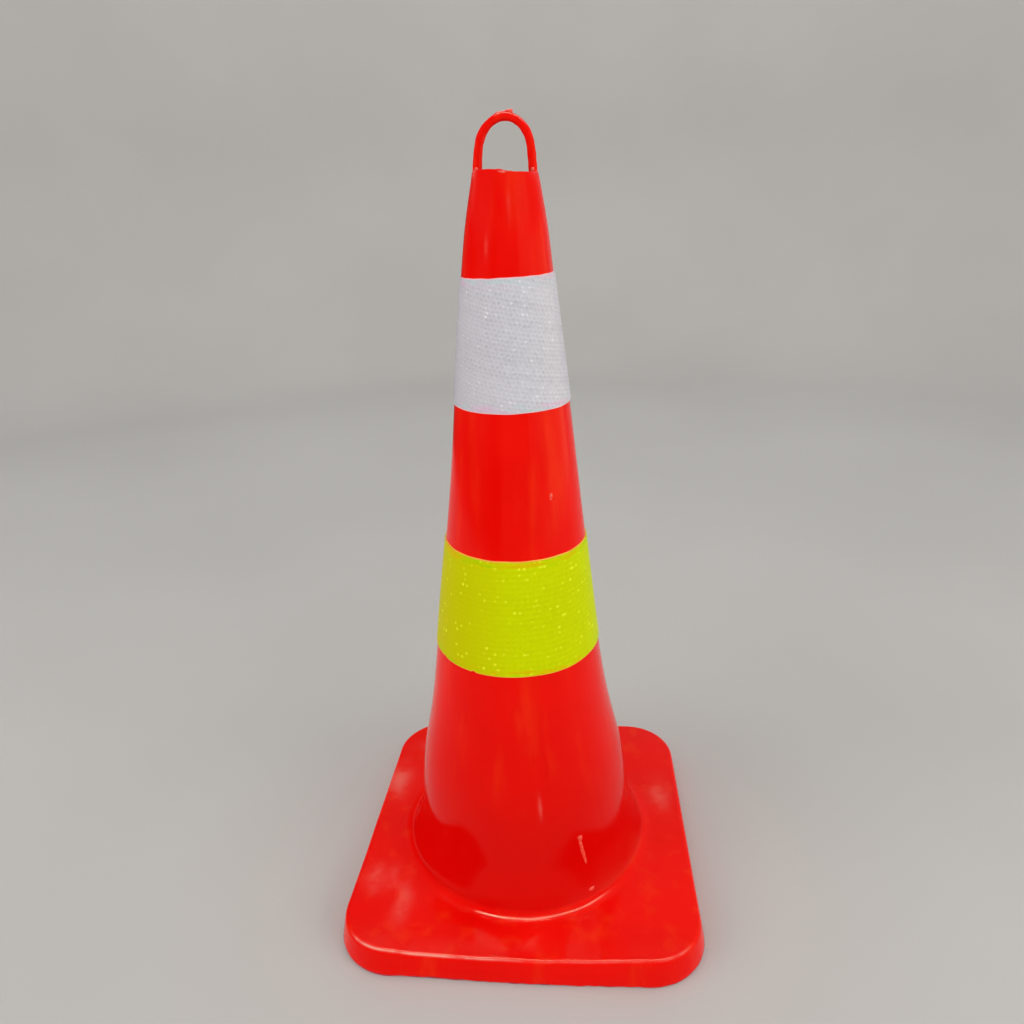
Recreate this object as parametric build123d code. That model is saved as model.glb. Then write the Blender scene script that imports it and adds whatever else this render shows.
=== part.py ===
"""Traffic cone with a square weighted base, two reflective collars and a carrying loop.

The cone stands on the XY plane with its axis on Z, and the sides of its base lie
along X and Y. The carrying loop stands in the XZ plane. Each separate piece is
written to its own STEP file, in millimetres:

  cone_body              soft PVC moulding: hollow cone, base top and base skirt
  base_ballast           heavy slab under the base top, with the round stacking hole
  carry_loop             U-shaped loop on the rim, its two legs bonded inside the mouth
  white_collar_carrier   backing film of the upper reflective collar
  white_collar_lens      prismatic face film of the upper reflective collar
  lime_collar_carrier    backing film of the lower reflective collar
  lime_collar_lens       prismatic face film of the lower reflective collar
"""

from build123d import *
from math import atan, degrees
import os

# Driving dimensions
TOTAL_HEIGHT = 700.0        # underside to the crown of the loop
RIM_HEIGHT = 658.5          # underside to the open rim
BASE_WIDTH = 336.0          # across the flats, at the skirt's bottom edge
BASE_HEIGHT = 25.0          # underside to the flat top of the base
BASE_CORNER = 55.0          # corner radius in plan
WALL = 3.0                  # soft PVC wall, everywhere
MOUTH_RADIUS = 110.0        # round stacking hole in the underside
LOOP_THICKNESS = 7.0        # diameter of the loop's round section

# Base
SIDE_DRAFT = 5.5            # how far each side leans in over the base's height
EDGE_ROUND = 4.0            # round along the top edge of the base
SKIRT_GAP = 3.0             # height of ballast that shows under the skirt
BALLAST_INSET = 1.0         # how far that ballast sits inside the skirt's edge
LAND_WIDTH = 20.0           # edge of the underside that touches the ground
HOLE_LAND = 8.0             # ring round the stacking hole that touches the ground
RECESS_DEPTH = 2.0          # relief in the underside between the two lands
LEAD_IN = 1.5               # chamfer at the mouth of the stacking hole

# Flank of the cone, outside: radius and height, from the foot up to the rim
FOOT_RADIUS = 127.5         # where the foot's fillet runs out on the base top
FLANK = [
    (113.5, 36.0),
    (107.9, 60.0),
    (104.4, 88.0),
    (97.4, 135.0),
    (88.4, 175.0),
    (81.4, 215.0),
    (70.2, 300.0),
    (57.8, 400.0),
    (46.9, 500.0),
    (36.6, 588.0),
    (32.7, 618.0),
    (25.2, RIM_HEIGHT),
]
FOOT_SLOPE = (-0.237, 0.972)    # direction of the flank where it leaves the fillet
RIM_SLOPE = (-0.190, 0.982)     # direction of the flank at the rim

# Reflective collars: a carrier film under a slightly narrower lens film
CARRIER_THICKNESS = 0.5
LENS_THICKNESS = 0.6
LENS_MARGIN = 1.0           # carrier left showing above and below the lens film
SEAM_WIDTH = 0.6            # butt joint where the strip's two ends meet, at the back
WHITE_COLLAR = (481.0, 583.5)   # lower and upper edge
LIME_COLLAR = (254.0, 358.7)

# Carrying loop: half its width and its height over the rim, along its centre line
LEG_DEPTH = 14.0            # how far each leg reaches down inside the mouth
CROWN_RISE = TOTAL_HEIGHT - RIM_HEIGHT - LOOP_THICKNESS / 2
LOOP_LINE = [
    (22.0, -LEG_DEPTH),
    (21.3, 0.0),
    (20.4, 12.0),
    (16.1, 27.5),
]
COLLAR_RADIUS = 4.2         # thickened root of each leg, on the rim
COLLAR_HEIGHT = 4.0
GATE_LENGTH = 11.0          # trimmed moulding gate on the crown, along X
GATE_WIDTH = 4.6
GATE_RISE = 1.5


def revolved(face):
    """Solid of revolution about Z from a face drawn in the XZ plane."""
    return revolve(Plane.XZ * face, Axis.Z)


def flank_curve(offset):
    """The flank's outline, moved outward by offset."""
    points = [(radius + offset, height) for radius, height in FLANK]
    return Spline(*points, tangents=(FOOT_SLOPE, RIM_SLOPE))


def flank_face(offset):
    """Half section inside the flank moved outward by offset."""
    curve = flank_curve(offset)
    low, high = curve @ 0, curve @ 1
    closing = Polyline((high.X, high.Y), (0, high.Y), (0, low.Y), (low.X, low.Y))
    return make_face(curve + closing)


def foot_face():
    """Half section of the foot: the fillet that runs from the base top into the flank."""
    low = FLANK[0]
    fillet_arc = TangentArc((FOOT_RADIUS, BASE_HEIGHT), low, tangent=(-1, 0))
    root = BASE_HEIGHT - WALL
    closing = Polyline(low, (0, low[1]), (0, root), (FOOT_RADIUS, root), (FOOT_RADIUS, BASE_HEIGHT))
    return make_face(fillet_arc + closing)


def hollow_face():
    """Half section of the hollow inside the cone, open at the rim and at the underside."""
    inner = [(radius - WALL, height) for radius, height in FLANK[1:]]
    mouth_top = (MOUTH_RADIUS, FLANK[0][1] - 2)
    curve = Spline(mouth_top, *inner, tangents=(FOOT_SLOPE, RIM_SLOPE))
    rim = inner[-1]
    closing = Polyline(rim, (0, rim[1]), (0, 0), (MOUTH_RADIUS, 0), mouth_top)
    return make_face(curve + closing)


def base_block(inset, bottom, top):
    """Square block with round corners and drafted sides, inset from the base's outside."""
    side = BASE_WIDTH - 2 * inset
    outline = Pos(0, 0, bottom) * RectangleRounded(side, side, BASE_CORNER - inset)
    return extrude(outline, top - bottom, taper=degrees(atan(SIDE_DRAFT / BASE_HEIGHT)))


def base_cavity():
    """The room under the base top, inside the skirt."""
    return base_block(WALL, SKIRT_GAP, BASE_HEIGHT - WALL)


def make_cone_body():
    """Cone, base top and skirt, moulded in one."""
    block = base_block(0, SKIRT_GAP, BASE_HEIGHT)
    block = fillet(block.edges().group_by(Axis.Z)[-1], EDGE_ROUND)
    body = block + revolved(foot_face()) + revolved(flank_face(0))
    return body - base_cavity() - revolved(hollow_face())


def make_base_ballast():
    """Slab that fills the base, its bottom edge showing under the skirt."""
    side = BASE_WIDTH - 2 * BALLAST_INSET
    edge = extrude(RectangleRounded(side, side, BASE_CORNER - BALLAST_INSET), SKIRT_GAP)
    hole = Pos(0, 0, BASE_HEIGHT / 2) * Cylinder(MOUTH_RADIUS, 2 * BASE_HEIGHT)
    lead_in = Pos(0, 0, LEAD_IN / 2) * Cone(MOUTH_RADIUS + LEAD_IN, MOUTH_RADIUS, LEAD_IN)
    recess_side = BASE_WIDTH - 2 * LAND_WIDTH
    recess = extrude(RectangleRounded(recess_side, recess_side, BASE_CORNER - LAND_WIDTH), RECESS_DEPTH)
    ring = Pos(0, 0, RECESS_DEPTH / 2) * Cylinder(MOUTH_RADIUS + HOLE_LAND, RECESS_DEPTH)
    return edge + base_cavity() - hole - lead_in - (recess - ring)


def loop_path():
    """Centre line of the loop, from one leg's end over the crown to the other's."""
    left = [(-x, 0, RIM_HEIGHT + rise) for x, rise in LOOP_LINE]
    right = [(x, 0, RIM_HEIGHT + rise) for x, rise in reversed(LOOP_LINE)]
    return Spline(*left, (0, 0, RIM_HEIGHT + CROWN_RISE), *right)


def make_gate():
    """Trimmed stub of the moulding gate: a low wedge on the loop's crown."""
    top = TOTAL_HEIGHT + GATE_RISE
    root = TOTAL_HEIGHT - LOOP_THICKNESS / 2
    outline = Polyline(
        (-GATE_LENGTH / 2, root),
        (-GATE_LENGTH / 2, TOTAL_HEIGHT - GATE_RISE),
        (GATE_LENGTH / 2, top),
        (GATE_LENGTH / 2, root),
        close=True,
    )
    return extrude(Plane.XZ * make_face(outline), GATE_WIDTH / 2, both=True)


def make_carry_loop(body):
    """Loop with a thickened root on each leg and the gate stub, fitted to the cone's mouth."""
    path = loop_path()
    section = Plane(path @ 0, z_dir=path % 0) * Circle(LOOP_THICKNESS / 2)
    loop = sweep(section, path) + make_gate()
    for side in (-1, 1):
        root = Pos(side * LOOP_LINE[1][0], 0, RIM_HEIGHT + COLLAR_HEIGHT / 2)
        loop += root * Cylinder(COLLAR_RADIUS, COLLAR_HEIGHT)
    return loop - body


def make_film(edges, margin, inside, thickness):
    """One film of a collar: a strip round the flank with a butt joint at the back."""
    low, high = edges[0] + margin, edges[1] - margin
    reach = FLANK[0][0]
    band = Pos(reach / 2, (low + high) / 2) * Rectangle(reach, high - low)
    section = (flank_face(inside + thickness) - flank_face(inside)) & band
    seam = Pos(0, reach / 2, (low + high) / 2) * Box(SEAM_WIDTH, reach, high - low + WALL)
    return revolved(section) - seam


def make_parts():
    """Every piece by name."""
    body = make_cone_body()
    parts = {
        "cone_body": body,
        "base_ballast": make_base_ballast(),
        "carry_loop": make_carry_loop(body),
    }
    for name, edges in (("white", WHITE_COLLAR), ("lime", LIME_COLLAR)):
        parts[name + "_collar_carrier"] = make_film(edges, 0, 0, CARRIER_THICKNESS)
        parts[name + "_collar_lens"] = make_film(edges, LENS_MARGIN, CARRIER_THICKNESS, LENS_THICKNESS)
    return parts


os.makedirs("parts", exist_ok=True)
for node, shape in make_parts().items():
    export_step(shape, "parts/" + node + ".step")
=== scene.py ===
"""Visual model of the traffic cone: skin, ballast, loop and reflective collars.

Everything is in metres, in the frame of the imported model: +Z up, the cone's axis on Z,
the sides of the base along X and Y, and the loop standing in the XZ plane.
"""

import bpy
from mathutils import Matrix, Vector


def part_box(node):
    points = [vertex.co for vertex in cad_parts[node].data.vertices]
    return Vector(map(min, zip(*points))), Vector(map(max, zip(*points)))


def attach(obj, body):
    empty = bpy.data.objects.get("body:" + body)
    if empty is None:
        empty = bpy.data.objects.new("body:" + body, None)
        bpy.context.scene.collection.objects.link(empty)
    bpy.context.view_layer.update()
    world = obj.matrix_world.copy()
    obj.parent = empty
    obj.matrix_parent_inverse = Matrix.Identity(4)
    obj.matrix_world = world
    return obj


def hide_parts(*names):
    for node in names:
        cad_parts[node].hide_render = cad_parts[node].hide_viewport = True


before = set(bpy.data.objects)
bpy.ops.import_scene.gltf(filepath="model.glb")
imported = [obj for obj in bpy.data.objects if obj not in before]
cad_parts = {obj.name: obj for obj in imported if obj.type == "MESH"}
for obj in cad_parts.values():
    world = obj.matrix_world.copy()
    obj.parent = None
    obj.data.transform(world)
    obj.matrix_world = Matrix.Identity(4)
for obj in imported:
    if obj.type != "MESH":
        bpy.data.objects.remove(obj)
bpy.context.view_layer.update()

import math

import bmesh
import bpy
import numpy as np
from mathutils import Matrix, Vector

MM = 0.001
TURN = 2 * math.pi
BACK = math.pi / 2

# ------------------------ sizes, in metres

BODY_LOW, BODY_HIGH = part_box("cone_body")
BALLAST_LOW, BALLAST_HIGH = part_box("base_ballast")
RIM = BODY_HIGH.z
SKIRT_LOW = BODY_LOW.z
HALF_BASE = BODY_HIGH.x
BASE_TOP = 25 * MM
BASE_CORNER = 55 * MM
SIDE_LEAN = 5.5 / 25
EDGE_ROUND = 5 * MM
WALL = 3 * MM
HOLE = 110 * MM
# Underside of the ballast: lands at the edge and round the hole, relief, and lead-in of the hole
EDGE_LAND, HOLE_LAND, RELIEF, LEAD_IN = 20 * MM, 8 * MM, 2 * MM, 1.5 * MM
FOOT_RADIUS = 127.5 * MM
LOOP_RADIUS = 3.5 * MM

# Outside of the cone, radius and height in millimetres, from the foot up to the rim
FLANK = (
    (113.5, 36.0), (107.9, 60.0), (104.4, 88.0), (97.4, 135.0), (88.4, 175.0), (81.4, 215.0),
    (70.2, 300.0), (57.8, 400.0), (46.9, 500.0), (36.6, 588.0), (32.7, 618.0), (25.2, 658.5),
)
FOOT_SLOPE = -0.237 / 0.972
RIM_SLOPE = -0.190 / 0.982


class Curve:
    """Smooth curve of values at places, with given slopes at its two ends."""

    def __init__(self, places, values, first_slope, last_slope):
        self.places, self.values = places, values
        gap = np.diff(places)
        rise = np.diff(values) / gap
        count = len(places)
        rows = np.eye(count)
        right = np.zeros(count)
        right[0], right[-1] = first_slope, last_slope
        for i in range(1, count - 1):
            rows[i, i - 1 : i + 2] = gap[i], 2 * (gap[i - 1] + gap[i]), gap[i - 1]
            right[i] = 3 * (gap[i] * rise[i - 1] + gap[i - 1] * rise[i])
        self.slopes = np.linalg.solve(rows, right)

    def __call__(self, where):
        places, values, slopes = self.places, self.values, self.slopes
        where = np.asarray(where, float)
        i = np.clip(np.searchsorted(places, where) - 1, 0, len(places) - 2)
        gap = places[i + 1] - places[i]
        t = (where - places[i]) / gap
        return (
            values[i] * (2 * t**3 - 3 * t**2 + 1)
            + slopes[i] * gap * (t**3 - 2 * t**2 + t)
            + values[i + 1] * (3 * t**2 - 2 * t**3)
            + slopes[i + 1] * gap * (t**3 - t**2)
        )


KNOTS = np.array(FLANK) * MM
# Outside radius of the cone at a height
flank_radius = Curve(KNOTS[:, 1], KNOTS[:, 0], FOOT_SLOPE, RIM_SLOPE)


def bezier(points, count):
    """Points along the curve of four control points, given and returned in one unit."""
    t = np.linspace(0, 1, count)[:, None]
    a, b, c, d = np.array(points)
    return a * (1 - t) ** 3 + 3 * b * t * (1 - t) ** 2 + 3 * c * t * t * (1 - t) + d * t**3


# The foot of the cone, radius and height: from the flank down, then the crease on the base top
FOOT_TOP = 60 * MM
FOOT_WALL = ((107.9, 60.0), (110.3, 48.5), (115.6, 34.2), (119.8, 29.2))
FOOT_CREASE = ((119.8, 29.2), (122.2, 26.4), (126.8, 25.0), (131.0, 25.0))
FOOT = np.concatenate([bezier(FOOT_WALL, 10), bezier(FOOT_CREASE, 15)[1:]]) * MM
FOOT_LOW = 34 * MM  # below this, a height belongs to the base


def outside_radius(height):
    """Outside radius of the cone at a height, with its foot."""
    foot = np.interp(height, FOOT[::-1, 1], FOOT[::-1, 0])
    return np.where(height < FOOT_TOP, foot, flank_radius(height))


def smoothstep(low, high, value):
    """0 below low, 1 above high, and smooth between them."""
    t = np.clip((np.asarray(value, float) - low) / (high - low), 0, 1)
    return t * t * (3 - 2 * t)


def bump_at(value, centre, width):
    """Smooth bump of height 1 around centre."""
    return np.exp(-(((value - centre) / width) ** 2))


def turned(angle, centre):
    """Angle measured from centre, between -pi and pi."""
    return (np.asarray(angle) - centre + math.pi) % TURN - math.pi


# ------------------------ soft, uneven moulding

# Slow waves round the flank: size in millimetres, waves per turn, waves per metre, phase
FLANK_WAVES = (
    (0.15, 2, 1.1, 0.4), (0.12, 3, -1.7, 2.1), (0.10, 4, 2.3, 4.4), (0.10, 5, -0.9, 1.2),
    (0.09, 7, 1.9, 5.3), (0.07, 9, -2.8, 3.3), (0.05, 13, 3.4, 0.9),
)
# The soft cone leans to one side low down and to the other at the top: height, lean, in mm
LEAN = (
    (25, 0.0), (120, -1.4), (230, -2.3), (300, -1.4),
    (360, 0.0), (440, 1.25), (580, 1.4), (658.5, 2.8),
)
LEAN_KNOTS = np.array(LEAN) * MM
LEAN_CURVE = Curve(LEAN_KNOTS[:, 0], LEAN_KNOTS[:, 1], 0.0, 0.02)

# Base out of square, in mm: pushed sideways, and more so at the back than in front
BASE_SHIFT, BASE_SHEAR = 1.25, 0.9
# Share by which the base is narrower than nominal, and how much more so at the back
BASE_NARROWER, BASE_TAPER = 0.0035, 0.0122
# Front corners pulled outward: direction in degrees, distance in mm, half width in radians
PULLED_CORNERS = ((-135, 1.0, 0.20), (-45, 0.5, 0.22))
FRONT_BOW = 2.3
# Front of the base top: sunk between the corners, and a little high at them, in mm
FRONT_DIP, FRONT_RISE = 3.8, 1.3


def wobble(angle, height):
    """How far the flank stands out of round."""
    total = 0
    for size, per_turn, per_metre, phase in FLANK_WAVES:
        total = total + size * np.sin(per_turn * angle + per_metre * TURN * height + phase)
    return total * MM * smoothstep(BASE_TOP, 70 * MM, height)


def lean(height):
    """How far the axis is pushed sideways, along X, at a height."""
    return LEAN_CURVE(np.clip(height, BASE_TOP, RIM))


def on_flank(angle, height, offset):
    """Points on the flank, moved outward by offset."""
    radius = outside_radius(height) + offset + wobble(angle, height)
    x = radius * np.cos(angle) + lean(height)
    return np.stack(np.broadcast_arrays(x, radius * np.sin(angle), height), axis=-1)


def warped(x, y):
    """Plan of the base, pulled out of square: wider in front, and its front side bowed."""
    away = smoothstep(FOOT_RADIUS, 158 * MM, np.hypot(x, y))
    depth = y / HALF_BASE
    shift = (BASE_SHIFT + BASE_SHEAR * depth) * MM - x * (BASE_NARROWER + BASE_TAPER * depth)
    angle = np.arctan2(y, x)
    corner = sum(
        pull * bump_at(angle, math.radians(place), width) for place, pull, width in PULLED_CORNERS
    )
    shift = shift + corner * MM * np.cos(angle)
    bow = np.cos(math.pi / 2 * np.clip((x - 10 * MM) / (135 * MM), -1, 1)) ** 2
    front = smoothstep(-120 * MM, -150 * MM, y)
    deeper = corner * np.sin(angle) - front * bow * FRONT_BOW
    return x + away * shift, y + away * deeper * MM


def front_sag(x, y, height):
    """How far the front of the base top has sunk between its corners."""
    dip = smoothstep(-120 * MM, -85 * MM, x) * (1 - smoothstep(10 * MM, 140 * MM, x))
    share = smoothstep(-122 * MM, -162 * MM, y) * smoothstep(SKIRT_LOW, BASE_TOP, height)
    return (FRONT_DIP * dip - FRONT_RISE) * MM * share * (height < FOOT_LOW)


def plane_waves(count, shortest, longest, seed):
    """Waves in random directions, as wave vectors and phases."""
    draw = np.random.default_rng(seed)
    heading = draw.uniform(0, TURN, count)
    length = draw.uniform(shortest, longest, count)
    wave = TURN / length
    return wave * np.cos(heading), wave * np.sin(heading), draw.uniform(0, TURN, count)


BASE_RIPPLES = plane_waves(14, 38 * MM, 110 * MM, 5)


def ripple(x, y):
    """Unevenness of the base top, about between -1 and 1."""
    total = 0
    for wave_x, wave_y, phase in zip(*BASE_RIPPLES):
        total = total + np.sin(wave_x * x + wave_y * y + phase)
    return total / math.sqrt(len(BASE_RIPPLES[0])) / 1.4


def around(angle, waves, seed):
    """Irregular line round the object, about between -1 and 1."""
    draw = np.random.default_rng(seed)
    total = 0
    for per_turn in waves:
        total = total + draw.uniform(0.4, 1.0) * np.sin(per_turn * angle + draw.uniform(0, TURN))
    return total / math.sqrt(len(waves)) / 0.75


# ------------------------ mesh helpers

def new_mesh_object(name, points, faces):
    """Object made from points and faces, linked to the scene."""
    mesh = bpy.data.meshes.new(name)
    mesh.from_pydata(np.asarray(points).reshape(-1, 3).tolist(), [], faces)
    mesh.update()
    made = bpy.data.objects.new(name, mesh)
    bpy.context.scene.collection.objects.link(made)
    return made


def joined(grid):
    """Faces between the rows of a grid of point numbers, each row a closed ring."""
    here, there = grid[:-1], grid[1:]
    corners = [here, np.roll(here, -1, axis=1), np.roll(there, -1, axis=1), there]
    return np.stack(corners, axis=-1).reshape(-1, 4).tolist()


def swept(name, sections, closed):
    """Solid through closed cross sections, joined end to end or capped."""
    sections = np.asarray(sections, float)
    grid = np.arange(sections[..., 0].size).reshape(sections.shape[:2])
    if closed:
        faces = joined(np.vstack([grid, grid[:1]]))
    else:
        faces = joined(grid) + [grid[0].tolist(), grid[-1][::-1].tolist()]
    made = new_mesh_object(name, sections, faces)
    outward(made)
    made.data.shade_smooth()
    return made


def outward(made):
    """Turns the faces so that the solid's normals point out of it."""
    work = bmesh.new()
    work.from_mesh(made.data)
    bmesh.ops.recalc_face_normals(work, faces=work.faces)
    work.to_mesh(made.data)
    work.free()


def store(made, name, domain, values):
    """Keeps a number for each point or face on the mesh, for its material to read."""
    layer = made.data.attributes.new(name, "FLOAT", domain)
    layer.data.foreach_set("value", np.asarray(values, np.float32).ravel())


def rounded_square(angle, half, corner):
    """Distance from the centre to a square with round corners, at each angle."""
    c = np.abs(np.cos(angle))
    s = np.abs(np.sin(angle))
    big, small = np.maximum(c, s), np.minimum(c, s)
    flat = half / big
    core = half - corner
    along = core * (big + small)
    reach = along + np.sqrt(np.maximum(along**2 - 2 * core**2 + corner**2, 0))
    return np.where(flat * small <= core, flat, reach)


def finished(made, slot, material, *nodes):
    """Gives a piece its material and puts it on the body, in the place of the CAD nodes; slot is
    not used.
    """
    made.data.materials.append(material)
    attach(made, "root")
    if nodes:
        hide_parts(*nodes)


# ------------------------ material helpers

class Shader:
    """Material with a Principled shader, and short ways to add nodes to it."""

    def __init__(self, name, **fixed):
        self.material = bpy.data.materials.new(name)
        self.material.use_nodes = True
        self.tree = self.material.node_tree
        self.tree.nodes.clear()
        self.out = self.tree.nodes.new("ShaderNodeOutputMaterial")
        self.main = self.tree.nodes.new("ShaderNodeBsdfPrincipled")
        self.tree.links.new(self.main.outputs[0], self.out.inputs["Surface"])
        for socket, value in fixed.items():
            self.main.inputs[socket.replace("_", " ")].default_value = value
        self.place = self.add("ShaderNodeTexCoord").outputs["Object"]

    def add(self, kind, inputs=None, **settings):
        node = self.tree.nodes.new(kind)
        for key, value in settings.items():
            setattr(node, key, value)
        for key, value in (inputs or {}).items():
            self.feed(node.inputs[key], value)
        return node

    def feed(self, socket, value):
        if isinstance(value, bpy.types.NodeSocket):
            self.tree.links.new(value, socket)
        else:
            socket.default_value = value

    def drive(self, socket, value):
        self.feed(self.main.inputs[socket], value)

    def stretched(self, x, y, z):
        """The object's coordinates, scaled along each axis."""
        inputs = {"Vector": self.place, "Scale": (x, y, z)}
        return self.add("ShaderNodeMapping", inputs).outputs[0]

    def noise(self, scale, detail=2.0, roughness=0.5, place=None):
        """Noise about between 0.3 and 0.7."""
        names = ("Vector", "Scale", "Detail", "Roughness")
        inputs = dict(zip(names, (place or self.place, scale, detail, roughness)))
        return self.add("ShaderNodeTexNoise", inputs).outputs["Fac"]

    def spread(self, value, low, high, to_low=0.0, to_high=1.0):
        """Value from low to high spread over another range, and held outside it."""
        names = ("Value", "From Min", "From Max", "To Min", "To Max")
        inputs = dict(zip(names, (value, low, high, to_low, to_high)))
        return self.add("ShaderNodeMapRange", inputs, interpolation_type="SMOOTHSTEP").outputs[0]

    def math(self, operation, first, second=0.0):
        return self.add("ShaderNodeMath", {0: first, 1: second}, operation=operation).outputs[0]

    def times(self, first, second):
        return self.math("MULTIPLY", first, second)

    def mix(self, share, first, second):
        """Colour between two colours."""
        node = self.add("ShaderNodeMix", data_type="RGBA", blend_type="MIX")
        for socket, value in zip((0, 6, 7), (share, first, second)):
            if isinstance(value, tuple):
                value = (*value, 1.0)
            self.feed(node.inputs[socket], value)
        return node.outputs[2]

    def named(self, name):
        """A number stored on the mesh."""
        return self.add("ShaderNodeAttribute", attribute_name=name).outputs["Fac"]

    def along(self, axis):
        """The object's coordinate along one axis."""
        return self.add("ShaderNodeSeparateXYZ", {"Vector": self.place}).outputs[axis]

    def bumps(self, *layers):
        """Bump from layers of (height, strength, distance)."""
        normal = None
        for value, strength, distance in layers:
            inputs = {"Height": value, "Strength": strength, "Distance": distance}
            if normal is not None:
                inputs["Normal"] = normal
            normal = self.add("ShaderNodeBump", inputs).outputs[0]
        self.feed(self.main.inputs["Normal"], normal)


# ------------------------ materials

RED = (0.955, 0.0034, 0.0010)
RED_DEEP = (0.88, 0.0016, 0.0006)
RED_PALE = (0.97, 0.034, 0.005)
# Painted shade of the steep foot of the cone
RED_FOOT_SHADE = (0.74, 0.0008, 0.0004)
# Pale red of painted highlights and painted reflections, and of real pale scuffs
RED_SHINE_AND_SCUFF = (0.98, 0.40, 0.31)
# Torn, whitened PVC; the pale tone also paints highlights on the drips and the nubs
TORN_RED, TORN_PALE_AND_HIGHLIGHT = (0.93, 0.035, 0.018), (0.96, 0.15, 0.095)
FILLER_DARK, FILLER_LIGHT = (0.42, 0.018, 0.060), (0.62, 0.034, 0.085)
SPECK_DARK, SPECK_LIGHT = (0.12, 0.012, 0.03), (0.80, 0.30, 0.33)
FLOOR_DARK, FLOOR_LIGHT = (0.540, 0.524, 0.500), (0.565, 0.549, 0.524)
CLOTH_DARK, CLOTH_LIGHT = (0.05, 0.05, 0.05), (0.08, 0.08, 0.08)


def soft_pvc():
    """Glossy soft PVC: clouded colour, flow streaks, orange peel, painted shade at the foot,
    painted reflection patches on the base top, and a painted highlight along the base's front edge
    with real pale scuffs.
    """
    s = Shader("red_orange_pvc", Specular_IOR_Level=0.13, Specular_Tint=(1.0, 0.86, 0.60, 1.0))
    cloud = s.noise(7.0, 3.0, 0.6)
    flow = s.noise(1.0, 4.0, 0.6, s.stretched(46, 46, 5))
    grain = s.noise(620.0, 2.0, 0.6)
    scuff = s.noise(1.0, 6.0, 0.7, s.stretched(150, 150, 38))
    low_down = s.spread(s.along("Z"), 0.010, 0.045, 1.0, 0.25)
    colour = s.mix(s.spread(cloud, 0.30, 0.70), RED_DEEP, RED)
    colour = s.mix(s.times(s.spread(flow, 0.50, 0.72), 0.45), colour, RED_PALE)
    # Painted shade: darker towards the foot, from 240 mm down to just above the base top, standing
    # in for the shade low on the cone
    below = s.spread(s.along("Z"), 0.040, 0.240, 1.0, 0.0)
    foot_shade = s.times(below, s.spread(s.along("Z"), 0.026, 0.031))
    colour = s.mix(foot_shade, colour, RED_FOOT_SHADE)
    # Painted reflection: pale patches on the base top, standing in for the reflection of bright
    # things behind
    reflection_breakup = s.spread(s.noise(42.0, 2.0, 0.5), 0.34, 0.60, 0.25, 1.0)
    colour = s.mix(s.times(s.named("painted_reflection"), reflection_breakup), colour, RED_SHINE_AND_SCUFF)
    # Painted highlight along the base's front top edge, with real pale scuffs on the flank
    broken = s.spread(s.noise(45.0), 0.34, 0.56, 0.35, 1.0)
    colour = s.mix(s.times(s.named("highlight_and_scuffs"), broken), colour, RED_SHINE_AND_SCUFF)
    worn = s.times(s.spread(scuff, 0.62, 0.78), low_down)
    colour = s.mix(s.times(worn, 0.30), colour, RED_PALE)
    s.drive("Base Color", colour)
    rough = s.math("ADD", s.spread(cloud, 0.3, 0.7, 0.10, 0.19), s.times(worn, 0.15))
    s.drive("Roughness", rough)
    s.bumps((flow, 0.20, 0.0004), (grain, 0.10, 0.00010), (scuff, 0.05, 0.0002))
    return s.material


def clouded(name, cloud, grain, tones, contrast, roughness, bump, **fixed):
    """Surface with a slightly uneven colour and gloss, and a fine grain."""
    s = Shader(name, **fixed)
    cloud, grain = s.noise(*cloud), s.noise(*grain)
    s.drive("Base Color", s.mix(s.spread(cloud, *contrast), *tones))
    s.drive("Roughness", s.spread(cloud, 0.3, 0.7, *roughness))
    s.bumps((grain, *bump))
    return s.material


def scuffed_and_highlit_pvc():
    """PVC of the drips, scraps and gate: whitened where it was torn or worn; the pale tone is also
    a painted highlight on the drips and the nubs at the loop's roots.
    """
    tones, gloss = (TORN_RED, TORN_PALE_AND_HIGHLIGHT), (0.25, 0.45)
    noises = (420.0, 3.0, 0.6), (900.0, 2.0, 0.6)
    fixed = {"Specular_IOR_Level": 0.45, "Coat_Weight": 0.2, "Coat_Roughness": 0.12}
    return clouded("scuffed_and_highlit_pvc", *noises, tones, (0.35, 0.65), gloss, (0.3, 0.0002), **fixed)


def recycled_pvc():
    """Dull purple-red filler with specks of other colours."""
    s = Shader("recycled_pvc", Specular_IOR_Level=0.25)
    cloud = s.noise(40.0, 4.0, 0.6)
    speck = s.noise(900.0, 2.0, 0.5)
    grain = s.noise(300.0, 3.0, 0.6)
    colour = s.mix(s.spread(cloud, 0.35, 0.65), FILLER_DARK, FILLER_LIGHT)
    colour = s.mix(s.times(s.spread(speck, 0.64, 0.74), 0.5), colour, SPECK_DARK)
    colour = s.mix(s.times(s.spread(speck, 0.36, 0.28), 0.5), colour, SPECK_LIGHT)
    s.drive("Base Color", colour)
    s.drive("Roughness", s.spread(cloud, 0.3, 0.7, 0.45, 0.70))
    s.bumps((grain, 0.5, 0.0006), (speck, 0.3, 0.0002))
    return s.material


def carrier_film(name, *tones):
    """Thin glossy backing film, slightly clouded."""
    noises = (60.0, 3.0, 0.6), (700.0, 2.0, 0.5)
    fixed = {"Specular_IOR_Level": 0.3, "Coat_Weight": 0.15, "Coat_Roughness": 0.1}
    return clouded(name, *noises, tones, (0.35, 0.65), (0.25, 0.4), (0.15, 0.0001), **fixed)


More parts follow.
